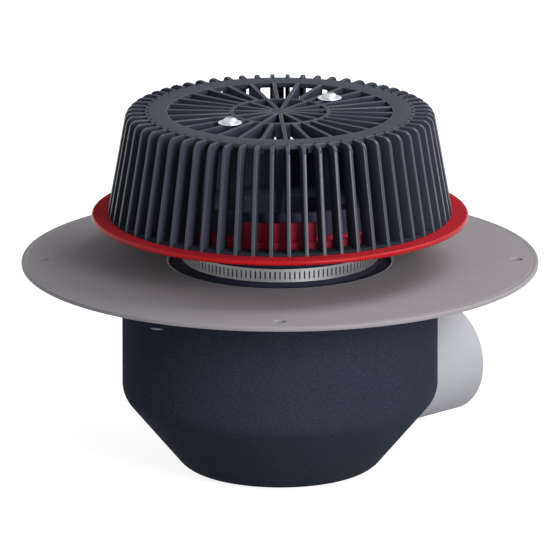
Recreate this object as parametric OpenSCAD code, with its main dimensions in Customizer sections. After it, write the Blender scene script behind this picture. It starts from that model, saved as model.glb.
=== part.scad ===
// Flat roof drain with an overflow ring and a leaf guard.
// Millimetres. Z is the drain's axis and points up, z = 0 is the underside of the membrane flange,
// and the outlet runs along +X.

/* [Membrane flange] */
// Outside diameter of the flange
flange_d = 350; // [340:1:370]
// Thickness of the flange
flange_t = 3.4; // [3:0.1:4]
// Gap between the clamp's band and the edge of the flange's opening
opening_gap = 9.5; // [8.5:0.1:12]
// Distance from the flange's edge in to the circle of fixing holes
hole_inset = 15; // [12:0.5:20]
// Diameter of a fixing hole
hole_d = 8; // [6:0.5:10]
// Number of fixing holes
hole_count = 4; // [3:1:8]
// How deep the bowl and the shell sit in the flange's underside
register = 1; // [0.6:0.1:1.4]

/* [Insulating shell] */
// Thickness of foam beside the bowl's rim
shell_cover = 6.9; // [5:0.1:10]
// Depth of the corner between the straight part and the cone
shell_corner_z = 89; // [85:0.5:92]
// Diameter at the corner between the cone and the flat foot
shell_foot_d = 126.4; // [124:0.2:130]
// Thickness of foam under the bowl
shell_base_t = 8; // [6:0.5:12]
// Rounding of the upper corner
shell_shoulder_r = 19.5; // [15:0.5:24]
// Rounding of the lower corner
shell_foot_r = 20; // [14:0.5:24]
// Diameter of the closed filling port on the side
port_d = 12; // [8:0.5:14]
// Depth of the filling port
port_depth = 2; // [1:0.5:4]

/* [Bowl and outlet] */
// Radial gap between the neck and the bowl's wall
neck_gap = 7; // [6:0.1:8]
// Wall thickness of the bowl
bowl_wall = 3; // [2.5:0.1:3.5]
// How far the bowl's rim reaches past the sleeve's collar
rim_land = 18; // [12:0.5:20]
// Thickness of the bowl's rim
rim_t = 7; // [5:0.5:9]
// Depth of the corner where the bowl starts to narrow
bowl_corner_z = 98; // [94:0.5:102]
// Diameter of the bowl's flat bottom
bowl_foot_d = 100; // [96:0.5:104]
// Outside diameter of the outlet spigot
outlet_d = 75; // [70:0.5:76]
// Wall thickness of the outlet spigot
outlet_wall = 2.4; // [2:0.1:3]
// Distance from the drain's axis to the end of the spigot
outlet_reach = 160; // [150:1:180]
// Depth of the spigot's axis below the flange
outlet_drop = 94.4; // [92:0.2:98]

/* [Neck, sleeve and clamp] */
// Outside diameter of the neck
neck_d = 124; // [122:0.5:125]
// Wall thickness of the neck
neck_wall = 3; // [2.5:0.1:3.5]
// How far the neck reaches below the flange
neck_depth = 28; // [20:1:34]
// Wall thickness of the rubber sleeve
sleeve_wall = 3.3; // [3:0.1:3.6]
// How far the sleeve stands above the band
sleeve_margin = 6; // [4.5:0.1:8]
// Thickness of the sleeve's collar
collar_t = 2; // [1.6:0.1:2.6]
// How far the collar reaches under the flange
collar_grip = 6.5; // [5:0.5:8]
// Width of the clamp's band
band_w = 9; // [8:0.5:9.5]
// Thickness of the clamp's band
band_t = 0.7; // [0.6:0.1:0.9]
// Gap between the flange and the band
band_lift = 1.6; // [1.4:0.1:2]
// Number of slots that fit around the band
slot_count = 124; // [110:2:130]
// Width of a slot
slot_w = 1; // [0.8:0.1:1.2]
// Length of a slot
slot_h = 5.3; // [4.5:0.1:5.8]

/* [Overflow ring and weir] */
// Height of the overflow ring's top above the flange's underside
ring_top = 36.1; // [34:0.1:42]
// Thickness of the overflow ring
ring_t = 3.4; // [3:0.1:4]
// How far the overflow ring reaches past the guard's base
ring_margin = 10.9; // [6:0.1:16]
// Distance from the weir to the outside of the wall that centres the guard
trough_w = 12.6; // [11:0.1:15]
// Height of that wall above the ring
locator_rise = 5.9; // [4:0.1:8]
// Outside diameter of the weir tube
weir_d = 177.8; // [176:0.2:179]
// Height of the weir above the overflow ring
weir_rise = 22.5; // [18:0.1:24]
// Wall thickness of the weir tube
weir_wall = 2.7; // [2.4:0.1:3]
// Width of a tab
tab_w = 49; // [40:0.5:56]
// Height of a tab above the overflow ring
tab_rise = 18.4; // [14:0.1:20]
// Number of tabs
tab_count = 4; // [3:1:5]

/* [Leaf guard] */
// Height of the guard
guard_h = 71; // [66:0.5:76]
// Radial gap between the centring wall and the ribs
locator_gap = 2.2; // [1.2:0.1:3]
// Lean of the ribs
rake = 10.05; // [9:0.05:11]
// Number of ribs
rib_count = 60; // [48:2:64]
// Thickness of a rib
rib_t = 2.6; // [2.2:0.1:3]
// Radial depth of a rib
rib_depth = 12.9; // [11:0.1:13]
// Rounding of a rib's upper outer corner
rib_corner_r = 6; // [4:0.5:8]
// Thickness of the guard's base ring
base_t = 1.8; // [1.5:0.1:2.5]
// Width of the flat plate around the grille
plate_w = 14.9; // [12:0.1:17]
// Thickness of the flat plate
plate_t = 3.4; // [3:0.1:4]
// Number of full spokes, with as many short ones between them
full_spokes = 15; // [13:2:15]
// Thickness of a spoke
spoke_t = 2.6; // [2.2:0.1:2.8]
// Depth of a spoke
spoke_depth = 9.8; // [8:0.1:11]
// Outside diameter of the small ring in the grille
small_ring_d = 68.2; // [64:0.2:72]
// Wall thickness of the small ring
small_ring_wall = 2.5; // [2.2:0.1:3]
// Width of a locating arm
arm_w = 5.3; // [4.5:0.1:6]

/* [Guard fasteners] */
// Distance from the drain's axis to a guard screw
screw_offset = 47.5; // [46:0.1:48.5]
// Thread diameter of a guard screw
screw_d = 6; // [5:0.5:6]
// How far a guard screw's tip passes its thread insert
screw_past = 2; // [1:0.5:3.5]
// Diameter of a screw's head
head_d = 10.4; // [10:0.1:11]
// Height of a screw's head
head_h = 3.3; // [3:0.1:3.6]
// Outside diameter of a washer
washer_d = 16.3; // [15:0.1:17]
// Thickness of a washer
washer_t = 1.6; // [1.2:0.1:1.8]
// Outside diameter of a thread insert
insert_d = 8.4; // [8:0.1:8.8]
// Length of a thread insert
insert_len = 12; // [10:0.5:13]

/* [Hidden] */
$fn = 96;
over = 1;                // how far a cutting solid reaches past what it cuts
corner_steps = 7;        // straight steps along a rounded corner
latch_angle = 45;        // direction of the first tab and of the clamp's housing
port_angle = 174;        // direction of the filling port
port_z = -22;

flange_r = flange_d / 2;
hole_circle_r = flange_r - hole_inset;
groove_inset = 3.4;
groove_w = 0.9;
groove_depth = 0.4;

neck_r = neck_d / 2;
neck_bore_r = neck_r - neck_wall;
sleeve_r = neck_r + sleeve_wall;
band_r = sleeve_r + band_t;
opening_r = band_r + opening_gap;
collar_r = opening_r + collar_grip;
band_z = flange_t + band_lift;
band_mid_z = band_z + band_w / 2;
tail_r = band_r + band_t;
sleeve_top = band_z + band_w + sleeve_margin;

outlet_r = outlet_d / 2;
floor_step = 1.3;        // the bowl's bottom lies this far below the outside of the spigot
bowl_h = outlet_drop + outlet_r + floor_step;
bowl_inner_r = neck_r + neck_gap;
bowl_r = bowl_inner_r + bowl_wall;
bowl_foot_r = bowl_foot_d / 2;
rim_r = collar_r + rim_land;
shell_r = rim_r + shell_cover;
shell_h = bowl_h + shell_base_t;
cone_angle = atan2(shell_r - shell_foot_d / 2, shell_h - shell_corner_z);
root_swell = 0.4;        // the spigot is this much larger in radius where the foam grips it
root_past = 1.1;         // how far that root stands out of the shell
root_r = outlet_r + root_swell;
root_end = shell_r + root_past;

seat_z = ring_top - ring_t;      // top of the neck's shoulder, where the overflow ring sits
shoulder_t = 3;
weir_r = weir_d / 2;
locator_r = weir_r + trough_w;
shoulder_margin = 4.5;           // the shoulder reaches this far past the centring wall
shoulder_r = locator_r + shoulder_margin;
weir_top = ring_top + weir_rise;
ring_slip = 0.3;                 // radial clearance between the overflow ring and the weir
ring_bore_r = weir_r + ring_slip;

insert_r = insert_d / 2;
screw_r = screw_d / 2;
well_past = 4;           // a thread insert's hole goes on this far below it
well_floor = 2.7;
lug_wall = 2.8;
lug_r = insert_r + lug_wall;
lug_web = 9;
lug_bottom = seat_z - insert_len - well_past - well_floor;

guard_top = ring_top + guard_h;
base_r = locator_r + locator_gap + rib_depth;
ring_r = base_r + ring_margin;
lean = tan(rake);
rib_top_r = base_r - guard_h * lean;         // where a rib's outer edge would meet the top plane
plate_r = rib_top_r - rib_depth;
grille_r = plate_r - plate_w;
pillar_slip = 0.3;
pillar_bore_r = screw_r + pillar_slip;
pillar_wall = 2.2;
pillar_r = pillar_bore_r + pillar_wall;
screw_len = guard_h + washer_t + ring_t + insert_len + screw_past;

// Points of an arc about the centre c, from the angle a to the angle b.
function arc(c, r, a, b, steps = corner_steps) =
    [for (i = [0:steps]) c + r * [cos(a + (b - a) * i / steps), sin(a + (b - a) * i / steps)]];

// A ring of rectangular section.
module ring(outer, inner, low, high) {
    rotate_extrude()
        translate([inner, low])
            square([outer - inner, high - low]);
}

// Copies its children around the axis, one for each angle.
module around(angles) {
    for (a = angles)
        rotate([0, 0, a])
            children();
}

// A solid that stands on a radial plane: the outline is drawn as radius and height.
module fin(outline, thickness) {
    rotate([90, 0, 0])
        linear_extrude(thickness, center = true)
            polygon(outline);
}

// One raked rib of the guard, with a short bracket under the plate.
module guard_rib() {
    bracket_h = 7;
    bracket_in = 2.2;
    corner = [rib_top_r - rib_corner_r * (1 - sin(rake)) / cos(rake), guard_top - rib_corner_r];
    fin(concat(
        [[base_r - rib_depth, ring_top], [base_r, ring_top]],
        arc(corner, rib_corner_r, rake, 90),
        [
            [plate_r - bracket_in, guard_top],
            [plate_r - bracket_in, guard_top - bracket_h],
            [plate_r + bracket_h * lean, guard_top - bracket_h]
        ]
    ), rib_t);
}

// A spoke of the grille between two radii.
module guard_spoke(from) {
    root = 2.5;              // how far a spoke runs in under the plate
    translate([from, -spoke_t / 2, guard_top - spoke_depth])
        cube([grille_r + root - from, spoke_t, spoke_depth]);
}

// A locating arm that hangs from the plate and ends just above the weir.
module guard_arm() {
    arm_t = 4.4;
    arm_gap = 0.5;
    arm_inset = 0.5;         // an arm stays this far inside the plate's edge
    arm_past = 1.8;          // and reaches at most this far past the weir
    outer = min(plate_r - arm_inset, weir_r + arm_past);
    fin([
        [outer - arm_t, weir_top + arm_gap],
        [outer, weir_top + arm_gap],
        [outer, guard_top - plate_t / 2],
        [outer - arm_t, guard_top - plate_t / 2]
    ], arm_w);
}

module leaf_guard() {
    hub_r = 6.4;
    edge = 0.7;              // the base ring stops this far inside the ribs' edges
    full_pitch = 360 / full_spokes;
    small_ring_r = small_ring_d / 2;
    color([0.27, 0.29, 0.32])
        difference() {
            union() {
                around([for (i = [0:rib_count - 1]) i * 360 / rib_count])
                    guard_rib();
                ring(base_r - edge, base_r - rib_depth + edge, ring_top, ring_top + base_t);
                ring(plate_r, grille_r, guard_top - plate_t, guard_top);
                ring(small_ring_r, small_ring_r - small_ring_wall, guard_top - spoke_depth, guard_top);
                around([for (i = [0:full_spokes - 1]) full_pitch * (i + 0.5)])
                    guard_spoke(hub_r / 2);
                around([for (i = [0:full_spokes - 1]) full_pitch * i])
                    guard_spoke(small_ring_r - small_ring_wall / 2);
                translate([0, 0, guard_top - spoke_depth])
                    cylinder(h = spoke_depth, r = hub_r);
                around([for (i = [0:tab_count - 1]) latch_angle + i * 360 / tab_count])
                    guard_arm();
                around([0, 180])
                    translate([screw_offset, 0, seat_z])
                        cylinder(h = guard_top - seat_z, r = pillar_r);
            }
            around([0, 180])
                translate([screw_offset, 0, seat_z - over])
                    cylinder(h = guard_top - seat_z + 2 * over, r = pillar_bore_r);
        }
}

module guard_washers() {
    slip = 0.2;
    color([0.86, 0.87, 0.88])
        around([0, 180])
            translate([screw_offset, 0, 0])
                ring(washer_d / 2, screw_r + slip, guard_top, guard_top + washer_t);
}

// A button-head screw with a hexagon socket. Its axis is the screw's own, and z = 0 is under the head.
module button_screw() {
    head_r = head_d / 2;
    dome_r = (head_r * head_r + head_h * head_h) / (2 * head_h);
    dome_low = asin((dome_r - head_h) / dome_r);
    socket_w = 4;
    socket_depth = 2;
    socket_r = socket_w / 2 / cos(30);
    tip = 0.6;
    difference() {
        rotate_extrude()
            polygon(concat(
                [[0, -screw_len], [screw_r - tip, -screw_len], [screw_r, -screw_len + tip], [screw_r, 0]],
                arc([0, head_h - dome_r], dome_r, dome_low, 90, 8)
            ));
        translate([0, 0, head_h - socket_depth])
            cylinder(h = socket_depth + over, r = socket_r, $fn = 6);
    }
}

module guard_screws() {
    color([0.9, 0.91, 0.92])
        around([0, 180])
            translate([screw_offset, 0, guard_top + washer_t])
                button_screw();
}

// A curved tab that stands on the overflow ring behind the centring wall.
module ring_tab(outer, inner) {
    intersection() {
        ring(outer, inner, seat_z + ring_t / 2, ring_top + tab_rise);
        translate([inner / 2, -tab_w / 2, seat_z])
            cube([outer, tab_w, ring_t + tab_rise + over]);
    }
}

module overflow_ring() {
    wall = 2.5;
    collar_wall = 2.3;
    collar_rise = 6.4;
    rim_flat = 0.4;          // height of the straight part left on the rim between its two roundings
    lip_flat = 0.3;          // and width of the one left on top of the centring wall
    tab_lap = 0.5;           // how far a tab stands into that wall
    edge_r = (ring_t - rim_flat) / 2;
    lip_r = (wall - lip_flat) / 2;
    tab_outer = locator_r - wall + tab_lap;
    color([0.78, 0.12, 0.18])
        union() {
            rotate_extrude()
                polygon(concat(
                    [[ring_bore_r, seat_z]],
                    arc([ring_r - edge_r, seat_z + edge_r], edge_r, -90, 0, 4),
                    arc([ring_r - edge_r, ring_top - edge_r], edge_r, 0, 90, 4),
                    [[locator_r, ring_top]],
                    arc([locator_r - lip_r, ring_top + locator_rise - lip_r], lip_r, 0, 90, 4),
                    arc([locator_r - wall + lip_r, ring_top + locator_rise - lip_r], lip_r, 90, 180, 4),
                    [
                        [locator_r - wall, ring_top],
                        [ring_bore_r + collar_wall, ring_top],
                        [ring_bore_r + collar_wall, ring_top + collar_rise],
                        [ring_bore_r, ring_top + collar_rise]
                    ]
                ));
            around([for (i = [0:tab_count - 1]) latch_angle + i * 360 / tab_count])
                ring_tab(tab_outer, tab_outer - wall);
        }
}

// A lug inside the neck that takes one guard screw.
module neck_lug() {
    translate([screw_offset, 0, lug_bottom])
        cylinder(h = seat_z - lug_bottom, r = lug_r);
    translate([screw_offset, -lug_web / 2, lug_bottom])
        cube([neck_r - neck_wall / 2 - screw_offset, lug_web, seat_z - lug_bottom]);
}

module overflow_neck() {
    mouth_r = 1.2;
    lead = 1;
    insert_well = insert_len + well_past;
    color([0.13, 0.14, 0.17])
        difference() {
            union() {
                rotate_extrude()
                    polygon(concat(
                        [
                            [neck_bore_r, -neck_depth],
                            [neck_r - lead, -neck_depth],
                            [neck_r, -neck_depth + lead],
                            [neck_r, seat_z - shoulder_t],
                            [shoulder_r, seat_z - shoulder_t],
                            [shoulder_r, seat_z],
                            [weir_r, seat_z],
                            [weir_r, weir_top],
                            [weir_r - weir_wall, weir_top],
                            [weir_r - weir_wall, seat_z]
                        ],
                        arc([neck_bore_r + mouth_r, seat_z - mouth_r], mouth_r, 90, 180, 4)
                    ));
                around([0, 180])
                    neck_lug();
            }
            around([0, 180])
                translate([screw_offset, 0, seat_z - insert_well])
                    cylinder(h = insert_well + over, r = insert_r);
        }
}

module thread_inserts() {
    color([0.72, 0.58, 0.28])
        around([0, 180])
            translate([screw_offset, 0, 0])
                ring(insert_r, screw_r, seat_z - insert_len, seat_z);
}

module neck_sleeve() {
    fillet = 2;
    bead_h = 3;
    bead_out = 1.2;
    color([0.1, 0.1, 0.12])
        rotate_extrude()
            polygon(concat(
                [[neck_r, register - collar_t], [collar_r, register - collar_t], [collar_r, register]],
                arc([sleeve_r + fillet, register + fillet], fillet, 270, 180, 4),
                [
                    [sleeve_r, sleeve_top - bead_h],
                    [sleeve_r + bead_out, sleeve_top - bead_h / 2],
                    [sleeve_r, sleeve_top],
                    [neck_r, sleeve_top]
                ]
            ));
}

module clamp_band() {
    pitch = 360 / slot_count;
    bare = 14;               // half the angle under the housing that has no slots
    tail_before = 24;
    tail_after = 14;
    weld = 0.1;
    slots = [for (i = [0:slot_count - 1]) if (i * pitch > bare && i * pitch < 360 - bare) i * pitch];
    color([0.6, 0.62, 0.64])
        difference() {
            union() {
                ring(band_r, sleeve_r, band_z, band_z + band_w);
                rotate([0, 0, latch_angle - tail_before])
                    rotate_extrude(angle = tail_before + tail_after)
                        translate([band_r - weld, band_z])
                            square([band_t + weld, band_w]);
            }
            around([for (a = slots) latch_angle + a])
                translate([sleeve_r - over, -slot_w / 2, band_mid_z - slot_h / 2])
                    cube([3 * over + band_t, slot_w, slot_h]);
        }
}

// Sizes of the worm drive, shared by its housing and its screw.
worm_r = 4.1;
worm_slip = 0.15;
housing_len = 13;
housing_wall = 0.8;
worm_lift = 0.25;        // clearance between the screw's thread and the band
worm_x = tail_r + worm_lift + worm_r;

// Turns a solid that lies along Z onto the worm's axis, which is a tangent of the band.
module on_worm_axis() {
    rotate([0, 0, latch_angle])
        translate([worm_x, 0, band_mid_z])
            rotate([90, 0, 0])
                children();
}

module clamp_housing() {
    saddle_h = 8.4;
    color([0.66, 0.67, 0.69])
        difference() {
            union() {
                on_worm_axis()
                    cylinder(h = housing_len, r = worm_r + worm_slip + housing_wall, center = true);
                rotate([0, 0, latch_angle])
                    translate([band_r - over, -housing_len / 2, band_mid_z - saddle_h / 2])
                        cube([worm_x - band_r + over, housing_len, saddle_h]);
            }
            on_worm_axis()
                cylinder(h = housing_len + 2 * over, r = worm_r + worm_slip, center = true);
            translate([0, 0, band_z - over])
                cylinder(h = band_w + 2 * over, r = tail_r);
        }
}

module clamp_screw() {
    collar_len = 1;
    head_len = 4.5;
    hex_r = 4;
    slot_depth = 1.2;
    color([0.74, 0.75, 0.77])
        on_worm_axis()
            difference() {
                union() {
                    translate([0, 0, -housing_len / 2 + over])
                        cylinder(h = housing_len - over, r = worm_r);
                    translate([0, 0, housing_len / 2])
                        cylinder(h = collar_len, r = worm_r + worm_slip + housing_wall / 2);
                    translate([0, 0, housing_len / 2 + collar_len])
                        cylinder(h = head_len, r = hex_r, $fn = 6);
                }
                translate([-hex_r - over, -0.5, housing_len / 2 + collar_len + head_len - slot_depth])
                    cube([2 * (hex_r + over), 1, slot_depth + over]);
            }
}

module membrane_flange() {
    edge_r = 1.2;
    ease = 0.4;
    slip = 0.3;
    groove_r = flange_r - groove_inset;
    hole_r = hole_d / 2;
    color([0.62, 0.61, 0.62])
        difference() {
            rotate_extrude()
                polygon(concat(
                    [[opening_r, register], [shell_r + slip, register], [shell_r + slip, 0]],
                    arc([flange_r - edge_r, edge_r], edge_r, -90, 0, 4),
                    arc([flange_r - edge_r, flange_t - edge_r], edge_r, 0, 90, 4),
                    [
                        [groove_r + groove_w / 2, flange_t],
                        [groove_r, flange_t - groove_depth],
                        [groove_r - groove_w / 2, flange_t],
                        [opening_r + ease, flange_t],
                        [opening_r, flange_t - ease]
                    ]
                ));
            around([for (i = [0:hole_count - 1]) 45 + i * 360 / hole_count])
                translate([hole_circle_r, 0, 0]) {
                    translate([0, 0, -over])
                        cylinder(h = flange_t + 2 * over, r = hole_r);
                    translate([0, 0, flange_t - ease])
                        cylinder(h = 2 * ease, r1 = hole_r, r2 = hole_r + 2 * ease);
                }
        }
}

// Outline of the bowl's outside, from the rim's upper edge down to the middle of the bottom.
function bowl_outside() = concat(
    [[rim_r, register], [rim_r, register - rim_t], [bowl_r, register - rim_t]],
    [[bowl_r, -bowl_corner_z], [bowl_foot_r, -bowl_h], [0, -bowl_h]]
);

// A cylinder along the spigot's axis, between two distances from the drain's axis.
module outlet_rod(radius, from, to) {
    translate([from, 0, -outlet_drop])
        rotate([0, 90, 0])
            cylinder(h = to - from, r = radius);
}

module drain_bowl() {
    end_ease = 0.8;
    color([0.72, 0.73, 0.76])
        difference() {
            union() {
                rotate_extrude()
                    polygon(concat([[0, register]], bowl_outside()));
                outlet_rod(root_r, bowl_foot_r - bowl_wall, root_end);
                outlet_rod(outlet_r, root_end - over, outlet_reach - end_ease);
                translate([outlet_reach - end_ease, 0, -outlet_drop])
                    rotate([0, 90, 0])
                        cylinder(h = end_ease, r1 = outlet_r, r2 = outlet_r - end_ease);
            }
            rotate_extrude()
                polygon([
                    [0, register + over],
                    [collar_r, register + over],
                    [collar_r, register - collar_t],
                    [bowl_inner_r, register - collar_t],
                    [bowl_inner_r, -bowl_corner_z],
                    [bowl_foot_r - bowl_wall, -bowl_h + bowl_wall],
                    [0, -bowl_h + bowl_wall]
                ]);
            outlet_rod(outlet_r - outlet_wall, 0, outlet_reach + over);
        }
}

module insulating_shell() {
    foot_in = shell_foot_r * tan((90 - cone_angle) / 2);
    shoulder_up = shell_shoulder_r * tan(cone_angle / 2);
    shoulder = [shell_r - shell_shoulder_r, -shell_corner_z + shoulder_up];
    foot = [shell_foot_d / 2 - foot_in, -shell_h + shell_foot_r];
    color([0.14, 0.16, 0.2])
        difference() {
            rotate_extrude()
                polygon(concat(
                    bowl_outside(),
                    [[0, -shell_h]],
                    arc(foot, shell_foot_r, -90, -cone_angle),
                    arc(shoulder, shell_shoulder_r, -cone_angle, 0),
                    [[shell_r, register]]
                ));
            outlet_rod(root_r, 0, root_end + over);
            rotate([0, 0, port_angle])
                translate([shell_r - port_depth, 0, port_z])
                    rotate([0, 90, 0])
                        cylinder(h = port_depth + over, r = port_d / 2);
        }
}

leaf_guard();
guard_washers();
guard_screws();
overflow_ring();
overflow_neck();
thread_inserts();
neck_sleeve();
clamp_band();
clamp_housing();
clamp_screw();
membrane_flange();
drain_bowl();
insulating_shell();
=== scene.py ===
import math

import bmesh
import bpy
from mathutils import Matrix, Vector


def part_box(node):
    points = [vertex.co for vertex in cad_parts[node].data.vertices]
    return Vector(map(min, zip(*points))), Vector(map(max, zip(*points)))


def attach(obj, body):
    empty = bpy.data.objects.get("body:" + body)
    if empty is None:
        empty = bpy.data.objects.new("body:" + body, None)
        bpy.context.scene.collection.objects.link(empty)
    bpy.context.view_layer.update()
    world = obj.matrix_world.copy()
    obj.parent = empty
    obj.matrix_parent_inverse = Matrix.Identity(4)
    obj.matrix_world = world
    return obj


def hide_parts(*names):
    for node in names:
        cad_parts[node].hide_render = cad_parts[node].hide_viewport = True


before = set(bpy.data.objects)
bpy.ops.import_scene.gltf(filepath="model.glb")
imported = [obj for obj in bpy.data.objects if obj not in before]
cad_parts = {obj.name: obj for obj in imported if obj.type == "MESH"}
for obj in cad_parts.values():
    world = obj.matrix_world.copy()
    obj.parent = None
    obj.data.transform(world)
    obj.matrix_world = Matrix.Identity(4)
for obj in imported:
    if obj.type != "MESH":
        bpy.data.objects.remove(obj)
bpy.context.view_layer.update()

# A flat roof drain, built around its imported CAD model. Z is the drain's axis, z = 0 is the flange's
# underside and the outlet runs along +X. Lengths are in metres. Angles are in radians, but the
# camera's and the lamps' are in degrees.
MM = 0.001
TURN = 2 * math.pi
AXIS_R = 0.00002         # a turned solid stops this close to its axis


def low(node):
    """The low corner of a CAD node's box."""
    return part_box(node)[0]


def high(node):
    """The high corner of a CAD node's box."""
    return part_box(node)[1]


# ---------------------------------------------------------------- sizes
# They come from the boxes of the frame's nodes. The sizes that no box gives are part.scad's own.

# Membrane flange
FLANGE_R = high("membrane_flange").y
FLANGE_T = high("membrane_flange").z
OPENING_R = 75.5 * MM
HOLE_CIRCLE_R = FLANGE_R - 15 * MM
HOLE_R = 4 * MM

# Insulating shell, and the bowl in it
SHELL_R = high("insulating_shell").x
SHELL_BOTTOM = low("insulating_shell").z
BOWL_RIM_R = high("drain_bowl").y
REGISTER = high("drain_bowl").z          # the bowl and the shell sit this deep in the flange
OUTLET_ROOT_R = 37.9 * MM
OUTLET_Z = -94.4 * MM
PORT_R = 6 * MM
PORT_Z = -22 * MM
PORT_ANGLE = math.radians(174)

# Overflow ring and weir
RING_R = 127.5 * MM
RING_TOP = 36.1 * MM
RING_T = 3.4 * MM
SEAT_Z = low("overflow_ring").z
TAB_TOP = high("overflow_ring").z
LOCATOR_R = 101.5 * MM   # outside of the wall that centres the guard
RING_WALL = 2.5 * MM     # of that wall and of the tabs
WEIR_R = 88.9 * MM
WEIR_TOP = high("overflow_neck").z

# Leaf guard
GUARD_BASE_R = high("leaf_guard").x
GUARD_TOP = high("leaf_guard").z
RAKE = math.radians(10.05)
RIB_COUNT = 60
RIB_DEPTH = 12.9 * MM
RIB_T = 2.6 * MM
RIB_TOP_R = GUARD_BASE_R - (GUARD_TOP - RING_TOP) * math.tan(RAKE)
PLATE_R = RIB_TOP_R - RIB_DEPTH
PLATE_W = 14.9 * MM
PLATE_T = 3.4 * MM
GRILLE_R = PLATE_R - PLATE_W
FULL_SPOKES = 15         # with as many short ones between them
SPOKE_DEPTH = 9.8 * MM
SPOKE_T = 2.6 * MM
SMALL_RING_R = 34.1 * MM
SMALL_RING_WALL = 2.5 * MM
HUB_R = 6.4 * MM

# Guard fasteners
WASHER_R = high("guard_washers").y
WASHER_T = high("guard_washers").z - GUARD_TOP
SCREW_OFFSET = high("guard_washers").x - WASHER_R
SCREW_TIP = low("guard_screws").z
HEAD_R = high("guard_screws").y
HEAD_H = 3.3 * MM

SCREW_PLACES = [(-SCREW_OFFSET, 0), (SCREW_OFFSET, 0)]

# The flange's holes, the ring's tabs and the guard's arms share these directions.
LATCH_ANGLES = [math.radians(45) + TURN * i / 4 for i in range(4)]

# ---------------------------------------------------------------- shader and geometry nodes


def connect(tree, node, inputs):
    """Links or sets a node's inputs, given by name or number."""
    for key, value in inputs.items():
        if isinstance(value, bpy.types.NodeSocket):
            tree.links.new(value, node.inputs[key])
        else:
            node.inputs[key].default_value = value


def add_node(tree, kind, inputs, **settings):
    """A new node with its settings made and its inputs linked or set."""
    node = tree.nodes.new(kind)
    for name, value in settings.items():
        setattr(node, name, value)
    connect(tree, node, inputs)
    return node


def remapped(tree, value, start, end, lowest=0, highest=1):
    """Maps the range from start to end onto lowest to highest, and clamps what lies outside."""
    band = add_node(tree, "ShaderNodeMapRange", {
        "Value": value,
        "From Min": start,
        "From Max": end,
        "To Min": lowest,
        "To Max": highest,
    })
    return band.outputs["Result"]


def mixed(tree, factor, first, second):
    """A value between first and second. Each of the three is a socket or a plain number."""
    mix = add_node(tree, "ShaderNodeMix", {"Factor": factor, "A": first, "B": second})
    return mix.outputs["Result"]


def tinted(tree, factor, first, second):
    """A colour between two plain colours."""
    ends = {"Factor": factor, "A": (*first, 1), "B": (*second, 1)}
    return add_node(tree, "ShaderNodeMix", ends, data_type="RGBA").outputs["Result"]


# ---------------------------------------------------------------- materials

CLOUD_SCALE = 22         # cycles a metre of the broad clouds in a plastic
METAL_GRAIN = 700        # cycles a metre of a metal's grain
MATT_ROUGHNESS = 0.95
GLOSS_VARY = 0.04        # how far a plastic's roughness strays
FAINT_BUMP = 0.05        # the strength of a fine relief
BUMP_DEPTH = 0.1 * MM
NOISE_MIDDLE = (0.3, 0.7)        # most of a noise's values lie between these


def new_material(name):
    """A material, its node tree and its shader."""
    material = bpy.data.materials.new(name)
    material.use_nodes = True
    tree = material.node_tree
    return material, tree, tree.nodes["Principled BSDF"]


def linear(r, g, b):
    """An sRGB colour from 0 to 255 as the linear values that shaders take."""
    def one(v):
        v /= 255
        return v / 12.92 if v <= 0.04045 else ((v + 0.055) / 1.055) ** 2.4
    return (one(r), one(g), one(b))


def scaled(colour, share):
    """A colour made lighter or darker."""
    return tuple(c * share for c in colour)


def object_noise(tree, scale, detail=3, squeeze=(1, 1, 1)):
    """A noise in object coordinates. scale is in cycles a metre, and squeeze packs it along an axis."""
    place = add_node(tree, "ShaderNodeTexCoord", {})
    mapping = add_node(tree, "ShaderNodeMapping", {"Vector": place.outputs["Object"], "Scale": squeeze})
    source = {"Vector": mapping.outputs["Vector"], "Scale": scale, "Detail": detail}
    return add_node(tree, "ShaderNodeTexNoise", source).outputs["Fac"]


def noise_band(tree, noise, lowest, highest):
    """Maps the middle of a noise onto a band."""
    return remapped(tree, noise, *NOISE_MIDDLE, lowest, highest)


def relief(tree, height, strength, depth):
    """The normal of a fine bump."""
    bump = add_node(tree, "ShaderNodeBump", {"Height": height, "Strength": strength, "Distance": depth})
    return bump.outputs["Normal"]


def flat_faces(tree):
    """1 on faces that lie flat, 0 on sides and rounded edges."""
    leaning = 0.95           # the part of the normal that points up or down
    level = 0.995
    place = add_node(tree, "ShaderNodeTexCoord", {})
    parts = add_node(tree, "ShaderNodeSeparateXYZ", {"Vector": place.outputs["Normal"]})
    upright = add_node(tree, "ShaderNodeMath", {0: parts.outputs["Z"]}, operation="ABSOLUTE")
    return remapped(tree, upright.outputs["Value"], leaning, level)


def moulded(name, colour, roughness, specular, matt=None,
            vary=0.05, grain=900, fine=0.5, bump=FAINT_BUMP, depth=BUMP_DEPTH):
    """A moulded plastic, foam or rubber: clouds and grain in its colour and gloss, and a fine relief.

    The faces that matt picks out have the mould's matt texture. vary is how far the colour strays,
    grain is in cycles a metre, and fine is the grain's share in the colour, the rest being clouds.
    """
    material, tree, shader = new_material(name)
    skin = object_noise(tree, grain)
    clouds = object_noise(tree, CLOUD_SCALE)
    factor = noise_band(tree, mixed(tree, fine, clouds, skin), 0, 1)
    gloss = noise_band(tree, skin, roughness - GLOSS_VARY, roughness + GLOSS_VARY)
    if matt:
        gloss = mixed(tree, matt(tree), gloss, MATT_ROUGHNESS)
    connect(tree, shader, {
        "Base Color": tinted(tree, factor, scaled(colour, 1 - vary), scaled(colour, 1 + vary)),
        "Roughness": gloss,
        "Specular IOR Level": specular,
        "Normal": relief(tree, skin, bump, depth),
    })
    return material


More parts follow.
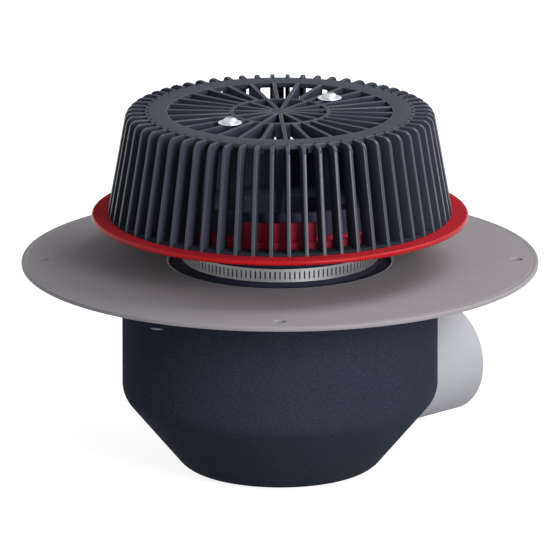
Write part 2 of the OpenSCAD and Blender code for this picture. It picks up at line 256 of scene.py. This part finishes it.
def metal(name, colour, roughness, squeeze=(1, 1, 1)):
    """A bare metal with a fine grain. Where squeeze packs it, the grain becomes brushed lines."""
    darkest = 0.88           # of the colour, in the lines
    smoother = 0.06
    rougher = 0.08
    material, tree, shader = new_material(name)
    lines = object_noise(tree, METAL_GRAIN, detail=2, squeeze=squeeze)
    connect(tree, shader, {
        "Base Color": tinted(tree, lines, scaled(colour, darkest), colour),
        "Metallic": 1,
        "Roughness": noise_band(tree, lines, roughness - smoother, roughness + rougher),
        "Normal": relief(tree, lines, FAINT_BUMP, BUMP_DEPTH),
    })
    return material


RED_SKIN = {"vary": 0.015, "grain": 600}
GREY_SKIN = {"vary": 0.02, "grain": 800, "bump": 0.04}

# The two numbers after a plastic's colour are its roughness and its specular level.
GUARD_BLACK = moulded("guard_black", linear(62, 66, 77), 0.3, 0.3, flat_faces)
# A darker copy of the guard's black for its inward faces, arms and pillars: painted shade.
GUARD_PAINTED_SHADE = moulded("guard_inside", linear(57, 60, 73), 0.75, 0.05)
# A still darker copy of the guard's black for the ring at the ribs' feet: painted shade.
GUARD_FOOT_SHADE = moulded("guard_foot", linear(42, 45, 55), 0.8, 0.03)
NECK_BLACK = moulded("neck_black", linear(62, 62, 80), 0.8, 0.05)
SIGNAL_RED = moulded("signal_red", linear(172, 11, 22), 0.28, 0.18, bump=0.01, **RED_SKIN)
# Darker, duller copies of the ring's red, for its flat top and for its walls inside the guard: painted
# shade.
RED_TOP_SHADE = moulded("red_top_shade", linear(162, 13, 31), 0.95, 0.2, bump=0.02, **RED_SKIN)
RED_SHADE_INSIDE = moulded("red_shade_inside", linear(158, 36, 58), 0.6, 0.1, bump=0.02, **RED_SKIN)
SLEEVE_RUBBER = moulded("sleeve_rubber", linear(44, 46, 61), 0.8, 0.15, grain=1200)
FLANGE_GREY = moulded("flange_grey", linear(147, 140, 144), 0.5, 0.3, flat_faces, **GREY_SKIN)
# A lighter grey for the edge of the flange's opening: a painted highlight.
FLANGE_EDGE_HIGHLIGHT = moulded("flange_edge_highlight", linear(205, 201, 206), 0.5, 0.3, **GREY_SKIN)
SPIGOT_GREY = moulded(
    "spigot_grey", linear(180, 180, 185), 0.6, 0.05, vary=0.02, grain=700, bump=0.03
)
FOAM_DARK = moulded(
    "foam_dark", linear(49, 54, 67), 0.9, 0.05,
    vary=0.35, grain=1100, fine=0.95, bump=0.6, depth=0.5 * MM
)
BAND_STEEL = metal("band_steel", linear(208, 209, 212), 0.42, squeeze=(1, 1, 14))
SCREW_STEEL = metal("screw_steel", linear(205, 207, 211), 0.4)
INSERT_BRASS = metal("insert_brass", linear(196, 160, 84), 0.35)

# ---------------------------------------------------------------- mesh helpers

CREASE = math.radians(32)        # edges that turn further than this stay sharp
WELD = 1e-7


def shade(mesh):
    """Shades a mesh smooth and keeps its edges over the crease angle sharp."""
    bm = bmesh.new()
    bm.from_mesh(mesh)
    for face in bm.faces:
        face.smooth = True
    for edge in bm.edges:
        edge.smooth = len(edge.link_faces) == 2 and edge.calc_face_angle(0) < CREASE
    bm.to_mesh(mesh)
    bm.free()


def finish_mesh(name, bm, material):
    """Turns a bmesh into an object with outward faces, smooth shading and sharp edges."""
    bmesh.ops.remove_doubles(bm, verts=bm.verts, dist=WELD)
    bmesh.ops.recalc_face_normals(bm, faces=bm.faces)
    mesh = bpy.data.meshes.new(name)
    bm.to_mesh(mesh)
    bm.free()
    shade(mesh)
    mesh.materials.append(material)
    piece = bpy.data.objects.new(name, mesh)
    bpy.context.scene.collection.objects.link(piece)
    return piece


def on_root(piece, slot, *nodes):
    """The piece rides on the drain and stands for the CAD nodes, if any. The slot is not used."""
    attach(piece, "root")
    if nodes:
        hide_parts(*nodes)


def repaint(piece, material, picks):
    """Gives another material to the faces that picks chooses by their centre and normal."""
    piece.data.materials.append(material)
    index = len(piece.data.materials) - 1
    for face in piece.data.polygons:
        if picks(face.center, face.normal):
            face.material_index = index


def cut_away(piece, bm):
    """Cuts a solid out of a piece."""
    cutter = finish_mesh("cutter", bm, piece.data.materials[0])
    cut = piece.modifiers.new("cut", "BOOLEAN")
    cut.operation = "DIFFERENCE"
    cut.solver = "EXACT"
    cut.object = cutter
    bpy.context.view_layer.update()
    graph = bpy.context.evaluated_depsgraph_get()
    mesh = bpy.data.meshes.new_from_object(piece.evaluated_get(graph))
    piece.modifiers.clear()
    piece.data = mesh
    bpy.data.objects.remove(cutter)
    shade(mesh)


def rounded(corners, steps):
    """An outline whose corners are rounded. A corner is (r, z) or (r, z, radius)."""
    points = []
    for i, corner in enumerate(corners):
        here = Vector(corner[:2])
        radius = corner[2] if len(corner) > 2 else 0
        if radius <= 0:
            points.append(tuple(here))
            continue
        to_last = (Vector(corners[i - 1][:2]) - here).normalized()
        to_next = (Vector(corners[(i + 1) % len(corners)][:2]) - here).normalized()
        half = to_last.angle(to_next) / 2
        centre = here + (to_last + to_next).normalized() * (radius / math.sin(half))
        start = here + to_last * (radius / math.tan(half)) - centre
        end = here + to_next * (radius / math.tan(half)) - centre
        a = math.atan2(start.y, start.x)
        sweep = (math.atan2(end.y, end.x) - a + math.pi) % TURN - math.pi
        for k in range(steps + 1):
            t = a + sweep * k / steps
            points.append((centre.x + radius * math.cos(t), centre.y + radius * math.sin(t)))
    return points


def ring_outline(outer, inner, bottom, top, ease):
    """The outline of a ring of rectangular section with rounded edges."""
    corners = [(inner, bottom, ease), (outer, bottom, ease), (outer, top, ease), (inner, top, ease)]
    return rounded(corners, steps=3)


def block_outline(inner, outer, bottom, top):
    """The outline of a bar or, from AXIS_R, of a rod."""
    return [(inner, bottom), (outer, bottom), (outer, top), (inner, top)]


def bridge(bm, sections, closed):
    """Joins each section to the next. A closed run goes on to the first, and an open one has caps."""
    followers = sections[1:] + sections[:1] if closed else sections[1:]
    for this, other in zip(sections, followers):
        for j in range(len(this)):
            k = (j + 1) % len(this)
            bm.faces.new((this[j], other[j], other[k], this[k]))
    if not closed:
        bm.faces.new(list(reversed(sections[0])))
        bm.faces.new(sections[-1])


def turn_outline(bm, outline, steps, centre=(0, 0), start=0.0, sweep=TURN):
    """Revolves an outline of (r, z) about the vertical axis through centre."""
    closed = sweep == TURN
    sections = []
    for i in range(steps if closed else steps + 1):
        a = start + sweep * i / steps
        x, y = math.cos(a), math.sin(a)
        sections.append([bm.verts.new((centre[0] + r * x, centre[1] + r * y, z)) for r, z in outline])
    bridge(bm, sections, closed)


def fin(bm, outline, thickness, angle, ease):
    """A flat solid on a radial plane, its outline in (r, z), with eased long edges, turned to angle."""
    rim = [bm.verts.new((r, -thickness / 2, z)) for r, z in outline]
    face = bm.faces.new(rim)
    pushed = bmesh.ops.extrude_face_region(bm, geom=[face])["geom"]
    moved = [v for v in pushed if isinstance(v, bmesh.types.BMVert)]
    bmesh.ops.translate(bm, verts=moved, vec=(0, thickness, 0))
    verts = set(rim) | set(moved)
    faces = [f for f in bm.faces if all(v in verts for v in f.verts)]
    caps = [f for f in faces if len(f.verts) == len(outline)]
    edges = list({e for f in caps for e in f.edges})
    made = bmesh.ops.bevel(
        bm, geom=edges, offset=ease, segments=2, profile=0.5, affect="EDGES", clamp_overlap=True
    )
    verts = {v for v in verts if v.is_valid} | set(made["verts"])
    bmesh.ops.rotate(bm, verts=list(verts), cent=(0, 0, 0), matrix=Matrix.Rotation(angle, 3, "Z"))


def along_radius(bm, z, angle):
    """Lays a solid that stands on the axis along the radius, at a height and an angle."""
    bmesh.ops.rotate(bm, verts=bm.verts, cent=(0, 0, 0), matrix=Matrix.Rotation(math.pi / 2, 3, "Y"))
    bmesh.ops.rotate(bm, verts=bm.verts, cent=(0, 0, 0), matrix=Matrix.Rotation(angle, 3, "Z"))
    bmesh.ops.translate(bm, verts=bm.verts, vec=(0, 0, z))


# ---------------------------------------------------------------- leaf guard

GUARD_EASE = 0.35 * MM


def rib_outline():
    """A raked rib, with a short bracket under the plate."""
    corner_r = 6 * MM
    bracket_h = 7 * MM
    bracket_in = 2.2 * MM
    return rounded([
        (GUARD_BASE_R - RIB_DEPTH, RING_TOP),
        (GUARD_BASE_R, RING_TOP),
        (RIB_TOP_R, GUARD_TOP, corner_r),
        (PLATE_R - bracket_in, GUARD_TOP),
        (PLATE_R - bracket_in, GUARD_TOP - bracket_h),
        (PLATE_R + bracket_h * math.tan(RAKE), GUARD_TOP - bracket_h),
    ], steps=10)


def make_guard_foot():
    """The low ring that joins the ribs' feet, in a still darker copy of the guard's black: painted
    shade.
    """
    inset = 0.7 * MM
    height = 1.8 * MM
    outer = GUARD_BASE_R - inset
    inner = GUARD_BASE_R - RIB_DEPTH + inset
    outline = ring_outline(outer, inner, RING_TOP, RING_TOP + height, GUARD_EASE)
    bm = bmesh.new()
    turn_outline(bm, outline, steps=240)
    on_root(finish_mesh("guard_foot_ring", bm, GUARD_FOOT_SHADE), "black_moulding", "leaf_guard")


def make_guard_inside():
    """The arms that hang from the plate to just above the weir, and the pillars around the screws, in
    the guard's darker copy of black: painted shade.
    """
    plate_inset = 0.5 * MM
    weir_overlap = 1.8 * MM
    arm_depth = 4.4 * MM
    arm_w = 5.3 * MM
    arm_gap = 0.5 * MM
    pillar_r = 5.5 * MM
    pillar_bore_r = 3.3 * MM
    pillar_ease = 0.2 * MM
    outer = min(PLATE_R - plate_inset, WEIR_R + weir_overlap)
    inner = outer - arm_depth
    bottom = WEIR_TOP + arm_gap
    top = GUARD_TOP - PLATE_T / 2
    bm = bmesh.new()
    for angle in LATCH_ANGLES:
        fin(bm, block_outline(inner, outer, bottom, top), arm_w, angle, GUARD_EASE)
    pillar = ring_outline(pillar_r, pillar_bore_r, SEAT_Z, GUARD_TOP, pillar_ease)
    for place in SCREW_PLACES:
        turn_outline(bm, pillar, steps=40, centre=place)
    # The arms and pillars take the darker copy of the guard's black: painted shade.
    on_root(finish_mesh("guard_pillars", bm, GUARD_PAINTED_SHADE), "black_moulding", "leaf_guard")


def looks_inward(centre, normal):
    """Whether a face of the guard looks sideways, to the axis or down."""
    most_outward = 0.35
    most_upward = 0.3
    outward = Vector((centre.x, centre.y, 0)).normalized().dot(normal)
    return outward < most_outward and normal.z < most_upward


def make_guard_moulding():
    """The ribs, the plate and the grille, which is matt on the faces that look inward and darker there:
    painted shade.
    """
    root = 1.2 * MM              # how far a spoke runs into what it joins
    sunk = 0.03 * MM             # a spoke's top and bottom lie this much inside the rings' own
    spoke_count = 2 * FULL_SPOKES
    bottom = GUARD_TOP - SPOKE_DEPTH
    rib = rib_outline()
    plate = ring_outline(PLATE_R, GRILLE_R, GUARD_TOP - PLATE_T, GUARD_TOP, GUARD_EASE)
    small_ring_inner = SMALL_RING_R - SMALL_RING_WALL
    small_ring = ring_outline(SMALL_RING_R, small_ring_inner, bottom, GUARD_TOP, GUARD_EASE)
    hub = [(AXIS_R, bottom), (HUB_R, bottom), (HUB_R, GUARD_TOP, GUARD_EASE), (AXIS_R, GUARD_TOP)]
    bm = bmesh.new()
    for i in range(RIB_COUNT):
        fin(bm, rib, RIB_T, TURN * i / RIB_COUNT, GUARD_EASE)
    turn_outline(bm, plate, steps=240)
    turn_outline(bm, small_ring, steps=120)
    turn_outline(bm, rounded(hub, steps=3), steps=48)
    for i in range(spoke_count):
        inner = SMALL_RING_R - root if i % 2 == 0 else HUB_R - root
        spoke = block_outline(inner, GRILLE_R + root, bottom + sunk, GUARD_TOP - sunk)
        fin(bm, spoke, SPOKE_T, TURN * i / spoke_count, GUARD_EASE)
    guard = finish_mesh("guard_moulding", bm, GUARD_BLACK)
    on_root(guard, "black_moulding", "leaf_guard")
    # The inward faces take the darker copy: painted shade.
    repaint(guard, GUARD_PAINTED_SHADE, looks_inward)


# ---------------------------------------------------------------- guard screws

HEAD_LOW = GUARD_TOP + WASHER_T / 2      # the washers are drawn half as thick as the CAD's
HEAD_TOP = HEAD_LOW + HEAD_H


def make_washers():
    """Two flat washers, joined in one piece as in the CAD node."""
    bore_r = 3.2 * MM
    ease = 0.3 * MM
    washer = ring_outline(WASHER_R, bore_r, GUARD_TOP, HEAD_LOW, ease)
    bm = bmesh.new()
    for place in SCREW_PLACES:
        turn_outline(bm, washer, steps=72, centre=place)
    on_root(finish_mesh("washer_discs", bm, SCREW_STEEL), "stainless", "guard_washers")


def screw_outline():
    """A button-head screw, from its tip to the top of its dome."""
    shank_r = 3 * MM
    tip_edge = 0.6 * MM
    steps = 18
    fullness = 0.8               # at 1 the dome is an ellipse, and under it its shoulder is fuller
    outline = [
        (AXIS_R, SCREW_TIP),
        (shank_r - tip_edge, SCREW_TIP),
        (shank_r, SCREW_TIP + tip_edge),
        (shank_r, HEAD_LOW),
    ]
    for k in range(steps + 1):
        t = math.pi / 2 * k / steps
        r = HEAD_R * max(math.cos(t), 0) ** fullness
        outline.append((max(r, AXIS_R), HEAD_LOW + HEAD_H * math.sin(t)))
    return outline


def make_screws():
    """Two screws with hexagon sockets."""
    socket_r = 2.31 * MM         # to the corners of a hexagon 4 mm wide
    socket_depth = 1.2 * MM
    screw = screw_outline()
    socket = block_outline(AXIS_R, socket_r, HEAD_TOP - socket_depth, HEAD_TOP + socket_depth)
    screws = bmesh.new()
    sockets = bmesh.new()
    for place in SCREW_PLACES:
        turn_outline(screws, screw, steps=72, centre=place)
        turn_outline(sockets, socket, steps=6, centre=place)
    piece = finish_mesh("screw_bodies", screws, SCREW_STEEL)
    cut_away(piece, sockets)
    on_root(piece, "stainless", "guard_screws")


# ---------------------------------------------------------------- overflow ring


def ring_section():
    """The flat ring, the wall that centres the guard and the collar around the weir."""
    bore_slip = 0.3 * MM
    collar_wall = 2.3 * MM
    locator_rise = 5.9 * MM
    collar_rise = 6.4 * MM
    bore = WEIR_R + bore_slip
    collar = bore + collar_wall
    locator_top = RING_TOP + locator_rise
    collar_top = RING_TOP + collar_rise
    rim_edge = 1.45 * MM
    locator_edge = 1.1 * MM
    collar_edge = 0.5 * MM
    bore_edge = 0.2 * MM
    fillet = 0.4 * MM
    return rounded([
        (bore, SEAT_Z, bore_edge),
        (RING_R, SEAT_Z, rim_edge),
        (RING_R, RING_TOP, rim_edge),
        (LOCATOR_R, RING_TOP, fillet),
        (LOCATOR_R, locator_top, locator_edge),
        (LOCATOR_R - RING_WALL, locator_top, locator_edge),
        (LOCATOR_R - RING_WALL, RING_TOP, fillet),
        (collar, RING_TOP, fillet),
        (collar, collar_top, collar_edge),
        (bore, collar_top, collar_edge),
    ], steps=6)


def looks_up(centre, normal):
    """Whether a face of the ring lies flat and looks up."""
    level = 0.97
    return normal.z > level


def inside_guard(centre, normal):
    """Whether a face of the ring stands within the guard's ribs and doesn't lie flat."""
    level = 0.9
    return centre.xy.length < GUARD_BASE_R - RIB_DEPTH and normal.z < level


def make_overflow_ring():
    """The ring and its tabs. Its matt top is a darker, duller red and its walls inside the guard a
    duller red: both painted shade.
    """
    tab_sunk = 0.5 * MM          # the tabs stand this deep in the centring wall
    tab_half_w = 24.5 * MM
    tab_ease = 0.35 * MM
    tab_outer = LOCATOR_R - RING_WALL + tab_sunk
    tab_inner = tab_outer - RING_WALL
    tab = ring_outline(tab_outer, tab_inner, RING_TOP - RING_T / 2, TAB_TOP, tab_ease)
    half = math.asin(tab_half_w / tab_outer)
    bm = bmesh.new()
    turn_outline(bm, ring_section(), steps=288)
    for angle in LATCH_ANGLES:
        turn_outline(bm, tab, steps=24, start=angle - half, sweep=2 * half)
    ring = finish_mesh("ring_moulding", bm, SIGNAL_RED)
    on_root(ring, "red_moulding", "overflow_ring")
    # The flat top takes the darker copy: painted shade.
    repaint(ring, RED_TOP_SHADE, looks_up)
    # The walls inside the guard take the duller copy: painted shade.
    repaint(ring, RED_SHADE_INSIDE, inside_guard)


# ---------------------------------------------------------------- flange


def flange_section():
    """The plate, with a fine groove near its rim and a register for the shell and the bowl."""
    register_slip = 0.3 * MM
    rim_edge = 1.2 * MM
    opening_edge = 0.7 * MM
    opening_land = 1.4 * MM      # the strip around the opening that the painted highlight covers
    groove_inset = 3.4 * MM
    groove_r = FLANGE_R - groove_inset
    groove_half_w = 0.45 * MM
    groove_depth = 0.4 * MM
    groove_edge = 0.1 * MM
    return rounded([
        (OPENING_R, REGISTER),
        (SHELL_R + register_slip, REGISTER),
        (SHELL_R + register_slip, 0),
        (FLANGE_R, 0, rim_edge),
        (FLANGE_R, FLANGE_T, rim_edge),
        (groove_r + groove_half_w, FLANGE_T, groove_edge),
        (groove_r, FLANGE_T - groove_depth, groove_edge),
        (groove_r - groove_half_w, FLANGE_T, groove_edge),
        (OPENING_R + opening_land, FLANGE_T),
        (OPENING_R, FLANGE_T, opening_edge),
    ], steps=6)


def highlight_at_opening(centre, normal):
    """Whether a face lies on the upper edge of the flange's opening, where a highlight is painted."""
    width = 1.3 * MM
    return centre.xy.length < OPENING_R + width and centre.z > FLANGE_T / 2


def make_flange():
    """The flange and its holes, with a painted highlight: a lighter edge around its opening."""
    ease = 0.4 * MM              # the holes widen by this much at the top
    below = -1 * MM
    bm = bmesh.new()
    turn_outline(bm, flange_section(), steps=360)
    flange = finish_mesh("flange_plate", bm, FLANGE_GREY)
    hole = [
        (AXIS_R, below),
        (HOLE_R, below),
        (HOLE_R, FLANGE_T - ease),
        (HOLE_R + 2 * ease, FLANGE_T + ease),
        (AXIS_R, FLANGE_T + ease),
    ]
    holes = bmesh.new()
    for angle in LATCH_ANGLES:
        place = (HOLE_CIRCLE_R * math.cos(angle), HOLE_CIRCLE_R * math.sin(angle))
        turn_outline(holes, hole, steps=48, centre=place)
    cut_away(flange, holes)
    # The opening's edge takes the lighter grey: a painted highlight.
    repaint(flange, FLANGE_EDGE_HIGHLIGHT, highlight_at_opening)
    on_root(flange, "grey_sheet", "membrane_flange")


# ---------------------------------------------------------------- insulating shell


def shell_section():
    """The foam body: its outside with even rows up the straight wall, and the hollow for the bowl."""
    corner_z = -89 * MM
    shoulder_r = 19.5 * MM
    foot_r = 63.2 * MM
    foot_edge = 20 * MM
    rim_edge = 0.3 * MM
    rim_low = -6 * MM
    bowl_r = 72 * MM
    bowl_corner_z = -98 * MM
    bowl_foot_r = 50 * MM
    bowl_low = -133.2 * MM
    outside = rounded([
        (AXIS_R, SHELL_BOTTOM),
        (foot_r, SHELL_BOTTOM, foot_edge),
        (SHELL_R, corner_z, shoulder_r),
        (SHELL_R, REGISTER, rim_edge),
    ], steps=16)
    row_count = 19
    row_gap = 4 * MM
    first_row = corner_z + 10 * MM
    rows = [(SHELL_R, first_row + i * row_gap) for i in range(row_count)]
    at = next(i for i, point in enumerate(outside) if point[1] > first_row)
    return outside[:at] + rows + outside[at:] + [
        (BOWL_RIM_R, REGISTER),
        (BOWL_RIM_R, rim_low),
        (bowl_r, rim_low),
        (bowl_r, bowl_corner_z),
        (bowl_foot_r, bowl_low),
        (AXIS_R, bowl_low),
    ]


def make_shell():
    """The foam body, with the passage for the outlet and the shallow filling port."""
    port_depth = 0.5 * MM        # shallower than the CAD's port, as the photo shows no dark recess
    pipe_reach = 200 * MM
    bm = bmesh.new()
    turn_outline(bm, shell_section(), steps=240)
    shell = finish_mesh("foam_shell", bm, FOAM_DARK)
    pipe = bmesh.new()
    turn_outline(pipe, block_outline(AXIS_R, OUTLET_ROOT_R, 0, pipe_reach), steps=128)
    along_radius(pipe, OUTLET_Z, 0)
    cut_away(shell, pipe)
    port = bmesh.new()
    port_outline = block_outline(AXIS_R, PORT_R, SHELL_R - port_depth, SHELL_R + 2 * port_depth)
    turn_outline(port, port_outline, steps=48)
    along_radius(port, PORT_Z, PORT_ANGLE)
    cut_away(shell, port)
    on_root(shell, "dark_foam", "insulating_shell")


def make_port_highlight_lip():
    """A thin curved lip under the filling port, pointed at its ends and rising to the front: a painted
    highlight.
    """
    half_w = 6.3 * MM
    half_t = 0.65 * MM
    drop = 5.2 * MM              # from the port's axis to the lip's middle
    tilt = 0.95 * MM
    sag = 0.25 * MM
    sunk = 0.6 * MM
    proud = 0.4 * MM
    half = math.asin(half_w / SHELL_R)
    blunt = 0.01                 # keeps the ends from closing to nothing
    edge_share = 0.3
    steps = 24
    bm = bmesh.new()
    sections = []
    for i in range(steps + 1):
        u = 2 * i / steps - 1
        a = PORT_ANGLE + u * half
        thick = half_t * math.sqrt(max(1 - u * u, blunt))
        z = PORT_Z - drop + tilt * u + sag * u * u
        edge = edge_share * thick
        corners = rounded([
            (SHELL_R - sunk, z - thick),
            (SHELL_R + proud, z - thick, edge),
            (SHELL_R + proud, z + thick, edge),
            (SHELL_R - sunk, z + thick),
        ], steps=3)
        sections.append([bm.verts.new((r * math.cos(a), r * math.sin(a), h)) for r, h in corners])
    bridge(bm, sections, closed=False)
    # Its light grey stands in for a glint on the port's lower lip: a painted highlight.
    on_root(finish_mesh("port_highlight_lip", bm, SPIGOT_GREY), "light_grey_moulding")


# ---------------------------------------------------------------- CAD nodes that stay

CAD_CREASE = math.radians(30)
CAD_WELD = 1e-6
CAD_FINISHES = {
    "overflow_neck": NECK_BLACK,
    "thread_inserts": INSERT_BRASS,
    "neck_sleeve": SLEEVE_RUBBER,
    "clamp_band": BAND_STEEL,
    "clamp_housing": BAND_STEEL,
    "clamp_screw": SCREW_STEEL,
    "drain_bowl": SPIGOT_GREY,
}


def smooth_nodes():
    """A node group that welds a CAD mesh and shades it smooth between its sharp edges."""
    group = bpy.data.node_groups.new("smooth_shade", "GeometryNodeTree")
    for side in ("INPUT", "OUTPUT"):
        group.interface.new_socket("Geometry", in_out=side, socket_type="NodeSocketGeometry")
    entry = add_node(group, "NodeGroupInput", {})
    weld = {"Geometry": entry.outputs[0], "Distance": CAD_WELD}
    welded = add_node(group, "GeometryNodeMergeByDistance", weld).outputs["Geometry"]
    turn = add_node(group, "GeometryNodeInputMeshEdgeAngle", {}).outputs["Unsigned Angle"]
    blunt = add_node(group, "FunctionNodeCompare", {"A": turn, "B": CAD_CREASE}, operation="LESS_THAN")
    faces = add_node(group, "GeometryNodeSetShadeSmooth", {"Geometry": welded}, domain="FACE")
    soft = {"Geometry": faces.outputs["Geometry"], "Shade Smooth": blunt.outputs["Result"]}
    edges = add_node(group, "GeometryNodeSetShadeSmooth", soft, domain="EDGE")
    add_node(group, "NodeGroupOutput", {0: edges.outputs["Geometry"]})
    return group


def dress(node, material, group):
    """Gives a CAD node its material and smooth shading, and leaves its mesh as it is."""
    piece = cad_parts[node]
    piece.data.materials.clear()
    piece.data.materials.append(material)
    modifier = piece.modifiers.new("shade", "NODES")
    modifier.node_group = group


# ---------------------------------------------------------------- stage, light and camera

FLOOR_REACH = 3              # from the drain to the floor's edge
FLOOR_GAP = 0.2 * MM
FLOOR_GREY = (0.45, 0.45, 0.45)
FLOOR_GLOW = 0.88            # what the rays that see the floor get besides its own colour
WHITE = (1, 1, 1)
AMBIENT = (0.33, 0.35, 0.38)
VIEW_AZIMUTH = -45           # degrees from -Y towards +X
VIEW_ELEVATION = 15.1        # degrees
VIEW_WIDTH = 0.3791          # what the picture shows from side to side, at the drain
VIEW_CENTRE = Vector((0, 0, -11.2 * MM))
LENS = 1000                  # millimetres, and long because the photo has nearly no perspective
SENSOR = 36                  # millimetres


def seen_or_mirrored(tree):
    """1 for a camera, gloss or transmission ray, and 0 for the rays that light the object."""
    path = add_node(tree, "ShaderNodeLightPath", {})
    flag = path.outputs["Is Camera Ray"]
    for name in ("Is Glossy Ray", "Is Transmission Ray"):
        either = add_node(tree, "ShaderNodeMath", {0: flag, 1: path.outputs[name]}, operation="MAXIMUM")
        flag = either.outputs["Value"]
    return flag


def stage_floor():
    """A wide pale floor. Seen straight on it is near white, and it still takes the object's shadow."""
    bm = bmesh.new()
    bmesh.ops.create_grid(bm, x_segments=1, y_segments=1, size=FLOOR_REACH)
    bmesh.ops.translate(bm, verts=bm.verts, vec=(0, 0, SHELL_BOTTOM - FLOOR_GAP))
    material, tree, shader = new_material("stage_white")
    connect(tree, shader, {
        "Base Color": (*FLOOR_GREY, 1),
        "Roughness": 0.9,
        "Specular IOR Level": 0.0,
        "Emission Color": (*WHITE, 1),
        "Emission Strength": remapped(tree, seen_or_mirrored(tree), 0, 1, 0, FLOOR_GLOW),
    })
    finish_mesh("stage_floor", bm, material)


def backdrop_world():
    """White to camera, gloss and transmission rays, and a plain soft grey as light."""
    world = bpy.data.worlds.new("studio")
    world.use_nodes = True
    bpy.context.scene.world = world
    tree = world.node_tree
    colour = tinted(tree, seen_or_mirrored(tree), AMBIENT, WHITE)
    connect(tree, tree.nodes["Background"], {"Color": colour})


def direction(azimuth, elevation):
    """The direction from the drain, in degrees from -Y towards +X and up from level."""
    a = math.radians(azimuth)
    e = math.radians(elevation)
    return Vector((math.sin(a) * math.cos(e), -math.cos(a) * math.cos(e), math.sin(e)))


def aimed(name, data, place, back):
    """Places a lamp or a camera that looks against the direction back."""
    thing = bpy.data.objects.new(name, data)
    bpy.context.scene.collection.objects.link(thing)
    thing.location = place
    thing.rotation_euler = (-back).to_track_quat("-Z", "Y").to_euler()
    return thing


def soft_lamp(name, azimuth, elevation, distance, size, power):
    """A square area lamp aimed at the drain. Its azimuth goes from the camera's to the right."""
    data = bpy.data.lights.new(name, "AREA")
    data.size = size
    data.energy = power
    back = direction(VIEW_AZIMUTH + azimuth, elevation)
    aimed(name, data, back * distance, back)


def studio_camera():
    """A camera at the photo's angle."""
    data = bpy.data.cameras.new("camera")
    data.lens = LENS
    data.sensor_width = SENSOR
    data.clip_end = 40           # past the floor's far edge
    back = direction(VIEW_AZIMUTH, VIEW_ELEVATION)
    place = VIEW_CENTRE + back * (VIEW_WIDTH * LENS / SENSOR)
    bpy.context.scene.camera = aimed("camera", data, place, back)


# ---------------------------------------------------------------- build

make_guard_foot()
make_guard_inside()
make_guard_moulding()
make_washers()
make_screws()
make_overflow_ring()
make_flange()
make_shell()
make_port_highlight_lip()
smooth = smooth_nodes()
for node, finish in CAD_FINISHES.items():
    dress(node, finish, smooth)

stage_floor()
backdrop_world()
soft_lamp("front", azimuth=31, elevation=18, distance=1.6, size=0.65, power=19)
soft_lamp("top", azimuth=112, elevation=52, distance=1.6, size=0.9, power=14)
studio_camera()
bpy.context.scene.view_settings.view_transform = "Standard"
